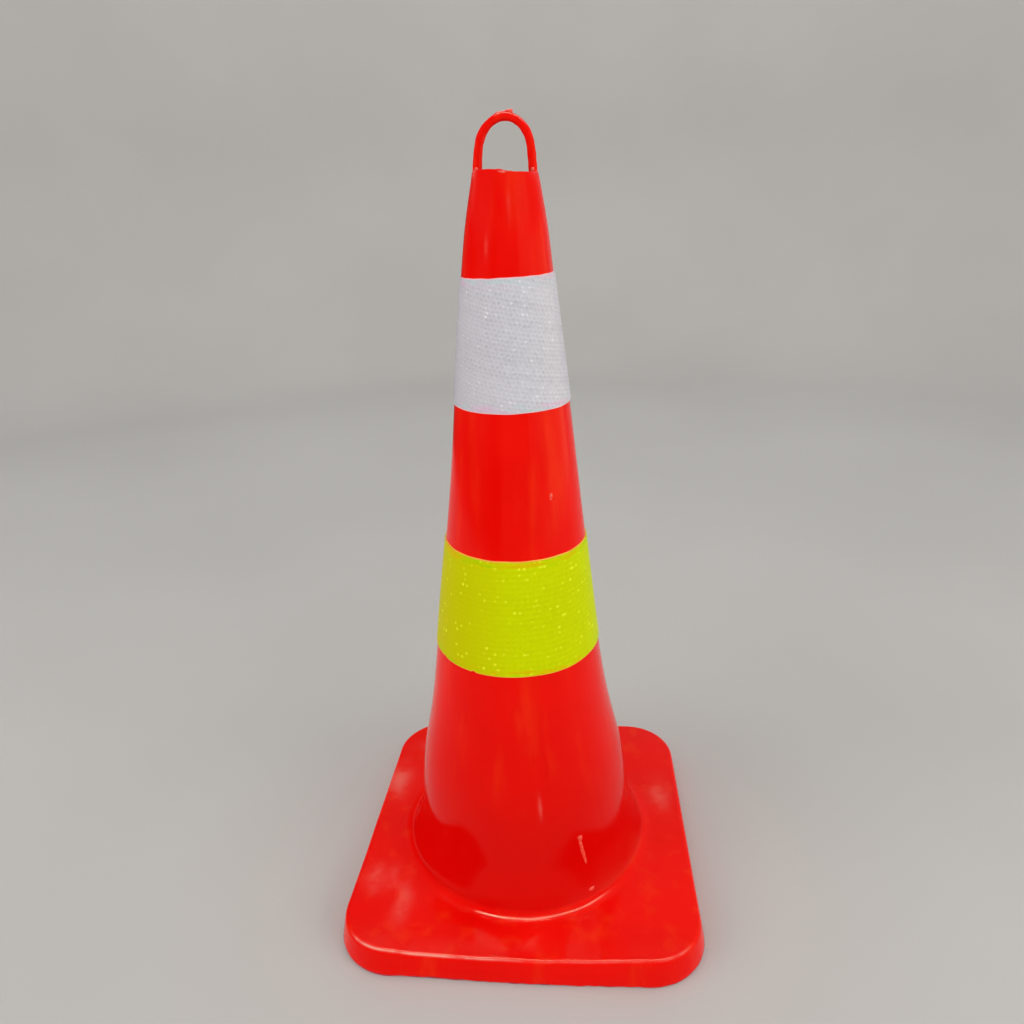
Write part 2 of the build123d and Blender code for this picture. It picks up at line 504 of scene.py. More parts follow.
def prism_film(name, tones, painted_left_light, pit_shade, glint, glinting, sheens, specular, coat):
    """Prismatic film: facets that differ a little, with painted shading, painted shade in the cell
    centres, painted glints, painted iridescent sheen at the margins, and painted light at the
    left.
    """
    s = Shader(name, Specular_IOR_Level=specular, Coat_Weight=coat, Coat_Roughness=0.07)
    facet_tone_and_shade = s.named("facet_tone_and_shade")
    margin = s.named("margin")
    cloud = s.noise(14.0, 2.0, 0.5)
    # tone: random, with the painted shading of the facets
    tone = s.math("ADD", s.times(facet_tone_and_shade, 0.55), s.times(s.named("cell"), 0.25))
    colour = s.mix(s.math("ADD", tone, s.times(cloud, 0.25)), tones[0], tones[1])
    # Painted light on the left of the film: a pinkish reflection on the white film, a duller olive
    # shade on the lime one
    colour = s.mix(s.spread(s.along("X"), -0.085, 0.02, 1.0, 0.0), colour, painted_left_light)
    # Painted shade in the sunk centres of the cells
    uneven = s.spread(s.noise(34.0), 0.36, 0.62, 0.10, 0.55)
    sunk = s.times(s.spread(s.named("pit_shade"), 0.40, 0.95), uneven)
    colour = s.mix(sunk, colour, pit_shade)
    # Painted sheen: orange and green iridescent patches painted along the film's margins
    drift = s.noise(1.0, 2.0, 0.6, s.stretched(42, 42, 150))
    strength = s.times(margin, s.spread(drift, 0.50, 0.66))
    colour = s.mix(s.times(strength, 0.5), colour, sheens[0])
    strength = s.times(margin, s.spread(drift, 0.50, 0.34))
    colour = s.mix(s.times(strength, 0.45), colour, sheens[1])
    # Painted glints: random facets, more in clusters and along streaks, painted nearly white
    streak = s.noise(1.0, 1.0, 0.5, s.stretched(60, 60, 300))
    cluster = s.spread(s.noise(22.0, 2.0, 0.6), 0.42, 0.64, 0.0, 0.06)
    cluster = s.math("ADD", cluster, s.spread(streak, 0.44, 0.64, 0.0, 0.07))
    low, high, most = glinting
    bright = s.spread(s.math("ADD", facet_tone_and_shade, cluster), low, high, 0.0, most)
    colour = s.mix(bright, colour, glint)
    s.drive("Base Color", colour)
    s.drive("Roughness", s.spread(facet_tone_and_shade, 0.0, 1.0, 0.42, 0.28))
    grain = s.noise(900.0, 2.0, 0.5)
    s.bumps((grain, 0.10, 0.0001))
    return s.material


def floor_paint():
    """Plain pale floor, lightly polished and softly clouded."""
    tones, gloss = (FLOOR_DARK, FLOOR_LIGHT), (0.50, 0.62)
    noises = (1.6, 3.0, 0.5), (240.0, 2.0, 0.5)
    fixed = {"Specular_IOR_Level": 0.12}
    return clouded("floor_paint", *noises, tones, (0.3, 0.7), gloss, (0.04, 0.0002), **fixed)


def flag_cloth():
    """Dark cloth of the flag that keeps bright reflections off the left side."""
    s = Shader("flag_cloth", Specular_IOR_Level=0.1, Roughness=0.9)
    cloud = s.noise(3.0, 2.0, 0.5)
    s.drive("Base Color", s.mix(cloud, CLOTH_DARK, CLOTH_LIGHT))
    return s.material


# ------------------------ cone, base top and skirt

COLUMNS = 360
ANGLES = np.arange(COLUMNS) * TURN / COLUMNS
SEAM_ANGLES = (math.radians(-71.5), math.radians(108.5))
TRIM_WAVES, TRIM_NICKS = (9, 14, 23, 31, 47, 58), (83, 97, 119)
LIP = 0.9 * MM  # round of the rim's edges
FLANK_ROWS = 112
OUTSIDE_ROWS = 4 + FLANK_ROWS + len(FOOT) - 1
# Rows of the skin after the outside of the flank: over the base top, and on down its sides
TOP_ROWS, SIDE_ROWS = 20, 30

# Scraps of moulding flash on the rim: angle, half width, height in mm
RIM_SCRAPS = ((-1.66, 0.10, 0.5), (-1.30, 0.06, 0.4), (0.7, 0.08, 0.9), (2.2, 0.12, 0.7))
# Soft pale scuffs on the flank: angle in degrees, height and half length in mm, strength
SCUFFS = ((-77.0, 129.0, 9.0, 0.22), (-112.0, 606.0, 6.0, 0.12), (-81.0, 636.0, 10.0, 0.10))
# Patches of painted reflection on the base top: centre, half width and half depth in mm, strength
REFLECTION_PATCHES = (
    (-150, 55, 11, 24, 0.32), (-137, -84, 13, 15, 0.30), (-112, -110, 8, 20, 0.20),
    (142, 40, 10, 22, 0.20), (-126, 118, 12, 10, 0.12), (60, 148, 30, 8, 0.14),
)


def skirt_trim(angle):
    """Height of the skirt's roughly trimmed lower edge over its nominal place."""
    tilt = -0.8 - 1.2 * np.cos(turned(angle, math.radians(-30)))
    return (tilt + 0.40 * around(angle, TRIM_WAVES, 3) + 0.2 * around(angle, TRIM_NICKS, 4)) * MM


def rim_line(angle):
    """Rise of the cut rim, with a few scraps of moulding flash."""
    across = np.cos(angle)
    line = 0.2 * around(angle, (3, 5, 8, 13), 8) - 3.2 * across * (1 - 0.7 * across**2)
    for place, width, height in RIM_SCRAPS:
        line = line + height * bump_at(turned(angle, place), 0, width)
    return line * MM


def base_ring(inset):
    """Distance to the base's outline at the skirt's lower edge, moved in by inset."""
    return rounded_square(ANGLES, HALF_BASE - inset, BASE_CORNER - inset)


def first_rows(count, grid):
    """True for the first rows of a grid and false for the others, as a column."""
    return (np.arange(len(grid)) < count)[:, None]


def new_rows():
    """Empty list of rows, and what adds a row: a radius and a height at each angle."""
    rows = []

    def row(radius, height):
        rows.append((np.broadcast_to(radius, COLUMNS), np.broadcast_to(height, COLUMNS)))

    return rows, row


def as_grid(rows):
    """Angle, radius and height of every point of the rows."""
    radius = np.array([r for r, z in rows])
    height = np.array([z for r, z in rows])
    return np.broadcast_to(ANGLES, radius.shape), radius, height


def revolved(name, x, y, height):
    """Solid through the rows' points, closed round the axis."""
    return swept(name, np.stack([x, y, height], axis=-1).transpose(1, 0, 2), True)


def skin_rows():
    """Closed outline of the skin, row by row."""
    rows, row = new_rows()
    outer_rim = flank_radius(RIM)
    for step in np.linspace(0, math.pi / 2, 4):
        row(outer_rim - LIP * (1 - math.sin(step)), RIM - LIP * (1 - math.cos(step)))
    for height in np.linspace(RIM - 1.6 * LIP, FOOT_TOP, FLANK_ROWS):
        row(flank_radius(height), height)
    for radius, height in FOOT[1:]:
        row(radius, height)
    side_angle = math.atan(SIDE_LEAN)
    turn = math.pi / 2 - side_angle
    reach = EDGE_ROUND * math.tan(turn / 2)
    edge_inset = SIDE_LEAN * (BASE_TOP - SKIRT_LOW) + reach
    edge_start = base_ring(edge_inset)
    for share in np.linspace(0, 1, 17)[1:]:
        row(FOOT[-1, 0] + (edge_start - FOOT[-1, 0]) * share, BASE_TOP)
    for step in np.linspace(0, turn, 8)[1:]:
        inset = edge_inset - EDGE_ROUND * math.sin(step)
        row(base_ring(inset), BASE_TOP - EDGE_ROUND * (1 - math.cos(step)))
    side_top = BASE_TOP - EDGE_ROUND * (1 - math.cos(turn))
    for share in np.linspace(0, 1, 8)[1:]:
        height = side_top + (SKIRT_LOW + 0.7 * MM - side_top) * share
        row(base_ring(SIDE_LEAN * (height - SKIRT_LOW)), height)
    for inset, rise in ((0.25, 0.2), (0.8, 0.0), (2.2, 0.0), (2.8, 0.3)):
        row(base_ring(inset * MM), SKIRT_LOW + rise * MM)
    under = BASE_TOP - WALL
    for share in (0.25, 1.0):
        height = SKIRT_LOW + (under - SKIRT_LOW) * share
        row(base_ring(WALL + SIDE_LEAN * (height - SKIRT_LOW)), height)
    inner_edge = base_ring(WALL + SIDE_LEAN * (under - SKIRT_LOW))
    for share in (0.5, 1.0):
        row(inner_edge + (HOLE - inner_edge) * share, under)
    row(HOLE, under + 5 * MM)
    row(HOLE, FOOT_LOW)
    for height in np.linspace(FOOT_TOP, RIM - 1.6 * LIP, 52):
        row(flank_radius(height) - WALL, height)
    for step in np.linspace(math.pi / 2, 0, 4):
        row(outer_rim - WALL + LIP * (1 - math.sin(step)), RIM - LIP * (1 - math.cos(step)))
    return rows


def edge_highlight_and_scuffs(angle, radius, height, x, y):
    """Where the skin is painted pale: a painted highlight along the front edge of the base top,
    and real pale scuffs on the flank.
    """
    in_front = smoothstep(-140 * MM, -156 * MM, y) * first_rows(OUTSIDE_ROWS + SIDE_ROWS, height)
    left_of_middle = 0.75 * smoothstep(10 * MM, -60 * MM, x)
    at_corner = 0.30 * bump_at(turned(angle, math.radians(-42)), 0, 0.12)
    on_edge = bump_at(height, BASE_TOP - 0.83 * MM, 0.45 * MM)
    # painted highlight on the front top edge, brightest left of the middle and at the front right
    # corner
    highlight_and_scuffs = (0.25 + left_of_middle + at_corner) * in_front * on_edge
    for degrees, place, length, share in SCUFFS:
        across = turned(angle, math.radians(degrees)) * radius
        streak = bump_at(across, 0, 1.4 * MM) * bump_at(height, place * MM, length * MM)
        highlight_and_scuffs = highlight_and_scuffs + share * first_rows(OUTSIDE_ROWS, height) * streak
    return highlight_and_scuffs


def painted_reflection_places(x, y, on_top):
    """How strongly a painted reflection lies on the base top."""
    painted_reflection = 0
    for centre_x, centre_y, wide, deep, share in REFLECTION_PATCHES:
        patch = bump_at(x, centre_x * MM, wide * MM) * bump_at(y, centre_y * MM, deep * MM)
        painted_reflection = painted_reflection + share * patch
    return painted_reflection * on_top * first_rows(OUTSIDE_ROWS + TOP_ROWS, x)


def make_skin():
    """Cone, base top and skirt as one soft moulding."""
    angle, radius, height = as_grid(skin_rows())
    on_top = smoothstep(SKIRT_LOW + 4 * MM, BASE_TOP - 1 * MM, height)
    on_top = on_top * smoothstep(60 * MM, 32 * MM, height)
    near_rim = height[:, :1] > RIM - 20 * MM
    # parting lines of the mould, along the flank
    seam = sum(bump_at(turned(angle, place) * radius, 0, 1.1 * MM) for place in SEAM_ANGLES)
    seam = seam * first_rows(OUTSIDE_ROWS, height) * smoothstep(40 * MM, 80 * MM, height)
    proud = 0.12 + 0.16 * bump_at(height, 168 * MM, 32 * MM)
    radius = radius + wobble(angle, height) + proud * MM * seam
    x, y = warped(radius * np.cos(angle), radius * np.sin(angle))
    rise = 0.55 * MM * ripple(x, y) * on_top - front_sag(x, y, height)
    trimmed = smoothstep(12 * MM, SKIRT_LOW, height) * (height < 12 * MM)
    rise = rise + skirt_trim(angle) * trimmed
    rise = rise + rim_line(angle) * smoothstep(RIM - 8 * MM, RIM, height) * near_rim
    x = x + lean(height)
    made = revolved("cone_skin", x, y, height + rise)
    store(made, "highlight_and_scuffs", "POINT", edge_highlight_and_scuffs(angle, radius, height, x, y).T)
    store(made, "painted_reflection", "POINT", painted_reflection_places(x, y, on_top).T)
    return made


def ballast_rows():
    """Closed outline of the ballast, from its lower edge up, in to the hole and back below."""
    rows, row = new_rows()
    low, high = BALLAST_LOW.z, BALLAST_HIGH.z
    for inset, height in ((1.6, low), (1.1, low + 0.5 * MM), (1.0, low + 1.5 * MM)):
        row(base_ring(inset * MM), height)
    row(base_ring(1.0 * MM), SKIRT_LOW + 0.2 * MM)
    row(base_ring(WALL), SKIRT_LOW + 0.8 * MM)
    for share in (0.5, 1.0):
        height = SKIRT_LOW + (high - SKIRT_LOW) * share
        row(base_ring(WALL + SIDE_LEAN * (height - SKIRT_LOW)), height)
    shoulder = base_ring(WALL + SIDE_LEAN * (high - SKIRT_LOW))
    for share in (0.35, 0.7, 1.0):
        row(shoulder + (HOLE - shoulder) * share, high)
    for height in (high - 1 * MM, 14 * MM, 6 * MM, low + LEAD_IN + 0.3 * MM):
        row(HOLE, height)
    row(HOLE + 0.4 * LEAD_IN, low + 0.6 * LEAD_IN)
    row(HOLE + LEAD_IN, low)
    row(HOLE + HOLE_LAND - 0.4 * MM, low)
    row(HOLE + HOLE_LAND, low + 0.4 * MM)
    start, end = HOLE + HOLE_LAND + 0.5 * MM, base_ring(EDGE_LAND)
    row(start, low + RELIEF)
    for share in (0.25, 0.5, 0.75, 1.0):
        row(start + (end - 0.5 * MM - start) * share, low + RELIEF)
    row(end, low + 0.4 * MM)
    row(end + 0.4 * MM, low)
    row(base_ring(10 * MM), low)
    return rows


def make_ballast():
    """Weighted slab, its rough edge showing under the skirt, with the round hole."""
    angle, radius, height = as_grid(ballast_rows())
    out = np.maximum(abs(radius * np.cos(angle)), abs(radius * np.sin(angle)))
    edge = smoothstep(HALF_BASE - 6 * MM, HALF_BASE - 2 * MM, out)
    rough = 0.35 * MM * around(angle, (17, 29, 41, 67), 6)
    radius = radius + rough * edge * (height < SKIRT_LOW)
    wave = 0.25 * MM * ripple(2 * radius * np.cos(angle), 2 * radius * np.sin(angle))
    in_relief = abs(height - BALLAST_LOW.z - RELIEF) < 0.1 * MM
    height = height + wave * (in_relief | (abs(height - BALLAST_HIGH.z) < 0.1 * MM))
    x, y = warped(radius * np.cos(angle), radius * np.sin(angle))
    return revolved("ballast", x, y, height - front_sag(x, y, height))


# ------------------------ loop

# Half the loop's width and its height over the rim, along its centre line, in millimetres
LOOP_LINE = ((22.0, -14.0), (21.3, 0.0), (20.4, 12.0), (16.1, 27.5), (0.0, 37.4))
LOOP_LEAN = 0.9 * MM
LOOP_RISE = 38 * MM
# Gate stub on the crown, along X, and the height of its top over the rim
GATE_START, GATE_END = -7.0 * MM, 6.5 * MM
GATE_RISE = 40.75 * MM


def loop_line(count):
    """Points along the loop's centre line, evenly spaced, from one leg's end to the other's."""
    half = [(-x, z) for x, z in LOOP_LINE]
    knots = np.array(half + [(-x, z) for x, z in reversed(half[:-1])]) * MM
    run = np.concatenate([[0], np.cumsum(np.linalg.norm(np.diff(knots, axis=0), axis=1))])
    ends = [(knots[1] - knots[0]) / run[1], (knots[-1] - knots[-2]) / (run[-1] - run[-2])]
    where = np.linspace(0, run[-1], count)
    line = [Curve(run, knots[:, k], ends[0][k], ends[1][k])(where) for k in (0, 1)]
    return np.stack([line[0], np.zeros(count), line[1] + RIM], axis=-1)


def make_loop():
    """Carrying loop: a round cord of PVC, thick where each leg leaves the rim."""
    count, around_count = 190, 36
    line = loop_line(count)
    run = np.gradient(line, axis=0)
    run = run / np.linalg.norm(run, axis=1)[:, None]
    side = np.array([0.0, 1.0, 0.0])
    out = np.cross(run, side)
    over_rim = line[:, 2] - RIM
    ends = np.minimum(np.arange(count), np.arange(count)[::-1])
    cap = np.sqrt(np.clip(1 - (1 - np.clip(ends / 5, 0, 1)) ** 2, 0.02, 1))
    root = bump_at(over_rim, 1.6 * MM, 3.4 * MM)
    turn = np.arange(around_count) * TURN / around_count
    sections = []
    for i in range(count):
        swell = 0.10 * MM * math.sin(0.21 * i + 1.0) + 0.07 * MM * math.sin(0.47 * i)
        at_crown = smoothstep(20 * MM, 36 * MM, over_rim[i])
        at_right = smoothstep(4 * MM, 16 * MM, line[i, 0])
        slim = 0.25 * MM * (at_crown + at_right)
        size = (LOOP_RADIUS - slim + swell * (over_rim[i] > 0)) * cap[i] + 0.25 * MM * root[i]
        across = size * (1 + 0.06 * root[i])
        ring = np.outer(size * np.cos(turn), out[i]) + np.outer(across * np.sin(turn), side)
        sections.append(line[i] + ring)
    sections = np.array(sections)
    over = np.clip(sections[..., 2] - RIM, 0, None)
    sections[..., 0] += lean(RIM) + LOOP_LEAN * (over / LOOP_RISE) ** 1.3
    return swept("loop", sections, False)


def make_gate():
    """Trimmed stub of the moulding gate on the crown, rising to a torn corner."""
    crown = RIM + GATE_RISE
    count, corners = 26, 20
    turn = np.arange(corners) * TURN / corners
    sections = []
    for i in range(count):
        share = i / (count - 1)
        x = GATE_START + (GATE_END - GATE_START) * share
        sag = 0.9 * MM * (x / (8 * MM)) ** 2
        torn = 1.55 * MM * share**1.5 + 0.18 * MM * math.sin(9 * share + 1)
        top = crown - sag * (1 - share) + torn
        low = crown - 3.2 * MM - sag
        cap = math.sqrt(max(1 - (1 - min(share * 5, (1 - share) * 16, 1)) ** 2, 0.03))
        wide = (2.1 - 0.6 * share) * MM * cap
        mid = (top + low) / 2
        tall = (top - low) / 2 * (0.55 + 0.45 * cap)
        c, s = np.cos(turn), np.sin(turn)
        squarer = (np.abs(c) ** 4 + np.abs(s) ** 4) ** -0.25
        ring = (np.full(corners, x), wide * c * squarer, mid + tall * s * squarer)
        sections.append(np.stack(ring, axis=-1))
    sections = np.array(sections)
    sections[..., 0] += lean(RIM) + LOOP_LEAN
    return swept("gate_stub", sections, False)


# ------------------------ reflective collars

SEAM = 0.6 * MM
CARRIER = 0.5 * MM
LENS = 0.6 * MM
MARGIN = 1.0 * MM
# Outline of the carrier film in mm, up the strip and out from the flank
STRIP = 104.5
CARRIER_OUTLINE = (
    [(0.0, -0.05), (0.0, 0.42), (0.08, 0.5)]
    + [(up, 0.5) for up in np.linspace(0.6, 103.9, 14)]
    + [(104.42, 0.5), (STRIP, 0.42), (STRIP, -0.05)]
    + [(up, -0.05) for up in np.linspace(97, 7, 8)]
)


def collar_edges(node, seed, tilt, nicks):
    """Lower and upper edge of a collar at each angle, from its CAD node."""
    low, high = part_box(node)

    def lower(angle):
        line = 0.16 * around(angle, (3, 5, 9, 14), seed)
        for place, width, depth in nicks:
            line = line + depth * bump_at(turned(angle, math.radians(place)), 0, width)
        return low.z + line * MM

    def upper(angle):
        line = tilt * np.cos(angle) + 0.16 * around(angle, (4, 6, 11, 17), seed + 1)
        return high.z + line * MM

    return lower, upper


def along_strip(share, height):
    """Angle at a share of the strip's length, from the butt joint at the back and round."""
    half_gap = SEAM / 2 / flank_radius(height)
    return BACK + half_gap + share * (TURN - 2 * half_gap)


def make_carrier(name, edges):
    """Backing film: a thin strip round the flank."""
    lower, upper = edges
    share = np.linspace(0, 1, COLUMNS + 1)
    sections = []
    for up, out in CARRIER_OUTLINE:
        nominal = BACK + share * TURN
        low, high = lower(nominal), upper(nominal)
        height = low + (high - low) * up / STRIP
        sections.append(on_flank(along_strip(share, height), height, out * MM))
    return swept(name, np.array(sections).transpose(1, 0, 2), False)


RUN_OUT = 18  # spare rows of cells, for sheets whose rows are slanted
ROW_COUNT = 1000  # more pairs of rows than any sheet has


def cell_centres(width, height, pitch, sides):
    """Centres of the cells of a sheet, row by row, with a border of spare cells."""
    row_gap = pitch * (math.sqrt(3) / 2 if sides == 6 else 1)
    rows = int(height / row_gap) + 6
    columns = int(width / pitch) + 6
    for j in range(-RUN_OUT, rows + RUN_OUT):
        shift = pitch / 2 if sides == 6 and j % 2 else 0
        for i in range(-RUN_OUT, columns + RUN_OUT):
            yield j, i * pitch + shift, j * row_gap


def cell_outline(pitch, sides):
    """Corners of one cell, with the middles of its sides if it is square, and its spokes."""
    reach = pitch / 2 / math.cos(math.pi / sides)
    spokes = [math.pi / sides + k * TURN / sides for k in range(sides)]
    outline = [(reach * math.cos(a), reach * math.sin(a)) for a in spokes]
    if sides == 4:
        following = outline[1:] + outline[:1]
        middles = [((x + u) / 2, (y + v) / 2) for (x, y), (u, v) in zip(outline, following)]
        outline = [point for pair in zip(outline, middles) for point in pair]
    return outline, spokes


def cut_to_size(work, width, height):
    """Cuts off what stands over the sheet's left, right, lower and upper edge."""
    cuts = (
        ((0, 0, 0), (-1, 0, 0)),
        ((width, 0, 0), (1, 0, 0)),
        ((0, 0, 0), (0, -1, 0)),
        ((0, height, 0), (0, 1, 0)),
    )
    for place, away in cuts:
        everything = work.verts[:] + work.edges[:] + work.faces[:]
        bmesh.ops.bisect_plane(
            work, geom=everything, plane_co=place, plane_no=away, clear_outer=True, dist=1e-7
        )
    work.verts.index_update()


def cell_sheet(width, height, pitch, sides, slant, depth, seed):
    """Flat sheet of prism cells, each a shallow pyramid sunk in the film, cut to size."""
    draw = np.random.default_rng(seed)
    work = bmesh.new()
    cell_layer = work.faces.layers.float.new("cell")
    facet_layer = work.faces.layers.float.new("facet_tone_and_shade")
    outline, spokes = cell_outline(pitch, sides)
    c, s = math.cos(slant), math.sin(slant)
    row_values = draw.random(ROW_COUNT)
    for j, x, y in cell_centres(width, height, pitch, sides):
        value = (draw.random() + row_values[(j + RUN_OUT) // 2]) / 2
        sunk = depth * draw.uniform(0.8, 1.2)
        facets = draw.random(sides)
        cx, cy = c * x - s * y, s * x + c * y
        if not (-pitch < cx < width + pitch and -pitch < cy < height + pitch):
            continue
        corners = [(cx + c * px - s * py, cy + s * px + c * py, 0) for px, py in outline]
        ring = [work.verts.new(corner) for corner in corners]
        centre = work.verts.new((cx, cy, -sunk))
        for k in range(len(ring)):
            face = work.faces.new((ring[k], ring[(k + 1) % len(ring)], centre))
            face[cell_layer] = value
            # a square cell has four facets of two faces each; the facets on a cell's lower side
            # face up and are painted brighter, as painted shading from light above
            part = (k + 1) // 2 % 4 if sides == 4 else k
            middle = spokes[part] + (0 if sides == 4 else TURN / 12)
            face[facet_layer] = 0.55 * facets[part] + 0.45 * (0.5 - 0.5 * math.sin(middle))
    bmesh.ops.remove_doubles(work, verts=work.verts, dist=pitch * 1e-3)
    cut_to_size(work, width, height)
    flat = np.array([v.co for v in work.verts])
    faces = [[v.index for v in f.verts] for f in work.faces]
    cells = [f[cell_layer] for f in work.faces]
    facets = [f[facet_layer] for f in work.faces]
    border = []
    for edge in work.edges:
        if len(edge.link_faces) == 1:
            loop = edge.link_loops[0]
            border.append((loop.vert.index, loop.link_loop_next.vert.index))
    work.free()
    return flat, faces, cells, facets, border


def make_lens(name, edges, sheet, width, height):
    """Prismatic face film: the flat sheet of cells bent round the flank, with its thickness."""
    lower, upper = edges
    flat, faces, cells, facets, border = sheet
    share, up = flat[:, 0] / width, flat[:, 1] / height
    nominal = BACK + share * TURN
    low, high = lower(nominal) + MARGIN, upper(nominal) - MARGIN
    z = low + (high - low) * up
    angle = along_strip(share, z)
    outer = on_flank(angle, z, CARRIER + LENS + flat[:, 2])
    inner = on_flank(angle, z, np.full(len(z), CARRIER - 0.02 * MM))
    count = len(flat)
    back = [[count + i for i in reversed(face)] for face in faces]
    walls = [[b, a, count + a, count + b] for a, b in border]
    made = new_mesh_object(name, np.concatenate([outer, inner]), faces + back + walls)
    zeros = [0.0] * (len(back) + len(walls))
    middles = [np.mean([up[i] for i in face]) for face in faces]
    to_edge = [min(middle, 1 - middle) * height for middle in middles]
    margin = [float(1 - smoothstep(3.0 * MM, 8.0 * MM, distance)) for distance in to_edge]
    for key, values in (("cell", cells), ("facet_tone_and_shade", facets), ("margin", margin)):
        store(made, key, "FACE", values + zeros)
    store(made, "pit_shade", "POINT", np.concatenate([flat[:, 2] / min(flat[:, 2]), np.zeros(count)]))
    outward(made)
    return made


# ------------------------ small marks of the moulding

BLOB_STATIONS, BLOB_CORNERS = 12, 12

# Drips and scraps of the mould; their pale tone is partly a painted highlight
# Angle in degrees, height, length, width and how far proud in mm, slant in degrees
MARKS = (
    (-56.0, 69.5, 37.0, 3.3, 0.8, -9.0),
    (-57.0, 87.0, 6.5, 5.0, 1.3, -10.0),
    (-55.2, 34.0, 3.6, 6.4, 1.4, -12.0),
    (-54.2, 410.0, 6.0, 2.8, 0.5, 8.0),
    (-90.0, 657.2, 1.8, 6.5, 0.8, 4.0),
)
# Nubs at the loop's roots, pale with a painted highlight
# Place along X and Y, height over the rim, and size, in mm
NUBS = ((-21.5, -3.5, 1.4, 2.6), (21.2, -3.4, -0.2, 2.6))


def blob(centre, along, across, out, length, width, proud):
    """Points of a drop-shaped blob, ring by ring."""
    points = []
    for i in range(BLOB_STATIONS):
        t = -math.cos(math.pi * (i + 0.5) / BLOB_STATIONS)
        size = math.sqrt(1 - t * t) * (1 + 0.35 * t) / 2
        for k in range(BLOB_CORNERS):
            turn = k * TURN / BLOB_CORNERS
            ring = across * math.cos(turn) * size * width + out * math.sin(turn) * size * 2 * proud
            points.append(centre + (along * t * length / 2 + ring) * MM)
    return points


def make_marks():
    """Drips and scraps left by the mould, and the nubs at the loop's roots, as one piece."""
    points = []
    for degrees, height, length, width, proud, slant in MARKS:
        angle = math.radians(degrees)
        centre = on_flank(angle, height * MM, 0.0)
        up = on_flank(angle, (height + 1) * MM, 0.0) - centre
        up = up / np.linalg.norm(up)
        side = np.cross(up, np.array([math.cos(angle), math.sin(angle), 0.0]))
        side = side / np.linalg.norm(side)
        tilt = math.radians(slant)
        along = up * math.cos(tilt) + side * math.sin(tilt)
        across = side * math.cos(tilt) - up * math.sin(tilt)
        points += blob(centre, along, across, np.cross(side, up), length, width, proud)
    for x, y, rise, size in NUBS:
        centre = np.array([x * MM + lean(RIM), y * MM, RIM + rise * MM])
        points += blob(centre, *np.eye(3)[[2, 0, 1]], 1.4 * size, size, size / 2)
    faces = []
    for grid in np.arange(len(points)).reshape(-1, BLOB_STATIONS, BLOB_CORNERS):
        faces += joined(grid) + [grid[0][::-1].tolist(), grid[-1].tolist()]
    made = new_mesh_object("moulding_marks", points, faces)
    outward(made)
    made.data.shade_smooth()
    return made


# ------------------------ surroundings

LAMP_WHITE, LAMP_WARM = (1.0, 0.98, 0.95), (1.0, 0.80, 0.40)
# Brightness of the sky: as a light, and in reflections, where it grows to the right and back
SKY, SKY_SEEN = 0.69, 0.10
SKY_AT_RIGHT, SKY_AT_BACK = 0.35, 0.40
FLAG_RADIUS = 1.25
FLAG_HEIGHTS = (0.12, 0.50, 0.85)
FLAG_START, FLAG_SPAN = 100, 150  # in degrees


def make_floor():
    """Pale floor that curves up into a low wall, far from the object on every side."""
    flat, bend, wall = 2.2, 0.9, 1.6
    profile = [(0.02, 0.0), (0.5, 0.0), (1.2, 0.0), (flat, 0.0)]
    for step in np.linspace(0, math.pi / 2, 16)[1:]:
        profile.append((flat + bend * math.sin(step), bend * (1 - math.cos(step))))
    profile.append((flat + bend, wall))
    turns = np.arange(128) * TURN / 128
    points = [(r * math.cos(turn), r * math.sin(turn), z) for r, z in profile for turn in turns]
    grid = np.arange(len(points)).reshape(len(profile), -1)
    made = new_mesh_object("floor", points, joined(grid) + [grid[0].tolist()])
    made.data.shade_smooth()
    made.data.materials.append(floor_paint())


def soft_light(name, place, target, size, radiance, diffuse=True, glossy=True, colour=LAMP_WHITE):
    """Rectangular light at a place, turned to a target, as bright as radiance says."""
    data = bpy.data.lights.new(name, "AREA")
    data.shape = "RECTANGLE"
    data.size, data.size_y = size
    data.energy = radiance * math.pi * size[0] * size[1]
    data.color = colour
    made = bpy.data.objects.new(name, data)
    made.location = place
    made.rotation_euler = (Vector(target) - Vector(place)).to_track_quat("-Z", "Y").to_euler()
    made.visible_camera = False
    made.visible_diffuse = diffuse
    made.visible_glossy = glossy
    bpy.context.scene.collection.objects.link(made)


def make_flag():
    """Dark upright card at the left, seen only in reflections."""
    count, high = 24, len(FLAG_HEIGHTS)
    points, faces = [], []
    for i in range(count + 1):
        turn = math.radians(FLAG_START + FLAG_SPAN * i / count)
        x, y = FLAG_RADIUS * math.cos(turn), FLAG_RADIUS * math.sin(turn)
        points += [(x, y, height) for height in FLAG_HEIGHTS]
    for i in range(count):
        for k in range(high - 1):
            a = high * i + k
            faces.append([a, a + high, a + high + 1, a + 1])
    made = new_mesh_object("flag", points, faces)
    made.data.materials.append(flag_cloth())
    made.visible_camera = False
    made.visible_diffuse = False
    made.visible_shadow = False


